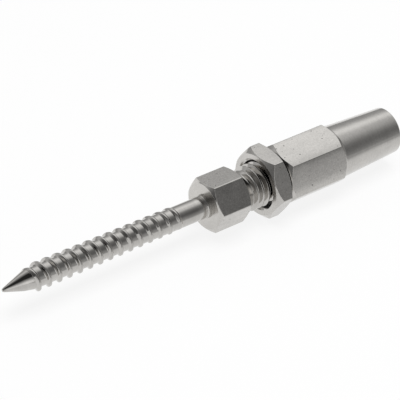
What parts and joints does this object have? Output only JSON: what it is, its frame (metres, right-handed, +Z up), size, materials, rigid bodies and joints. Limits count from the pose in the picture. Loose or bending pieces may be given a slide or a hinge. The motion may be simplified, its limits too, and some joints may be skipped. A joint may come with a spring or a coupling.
{
  "type": "wire rope tensioner with wood screw",
  "caption": "Wood screw with a hexagon and a metric stud, a locknut, and a conical sleeve that turns on the stud to tension a wire rope gripped by wedge jaws inside.",
  "frame": {"origin": "on the axis, in the plane of the front face of the screw's hexagon, the face that comes against the post", "axes": "+X along the axis from the screw tip towards the rope end, +Z up as the part lies on a table, +Y to the left when looking along +X"},
  "size_m": [0.1028, 0.0166, 0.0146],
  "materials": {
    "screw_steel": "turned and milled stainless steel, satin",
    "nut_steel": "stainless steel, satin",
    "sleeve_steel": "turned and milled stainless steel, satin with fine pits on the flats",
    "jaw_steel": "machined stainless steel",
    "spring_steel": "drawn stainless spring wire and stamped spring steel"
  },
  "bodies": {
    "screw": {"lag_screw": "screw_steel"},
    "nut": {"locknut": "nut_steel"},
    "grip": {"jaw_1": "jaw_steel", "jaw_2": "jaw_steel", "jaw_3": "jaw_steel", "jaw_spring": "spring_steel", "retaining_ring": "spring_steel"},
    "sleeve": {"terminal_sleeve": "sleeve_steel"}
  },
  "joints": [
    {"name": "nut_travel", "type": "slide", "parent": "screw", "child": "nut", "axis": [1, 0, 0], "range_m": [-0.0057, 0.00035]},
    {"name": "tension_travel", "type": "slide", "parent": "screw", "child": "grip", "axis": [1, 0, 0], "range_m": [-0.00005, 0.006]},
    {"name": "sleeve_turn", "type": "hinge", "parent": "grip", "child": "sleeve", "pos_m": [0, 0, 0], "axis": [1, 0, 0], "range_deg": [-13, 1442]}
  ],
  "couplings": [
    {"joint": "sleeve_turn", "follows": "tension_travel", "rad_per_m": 4188.8}
  ]
}
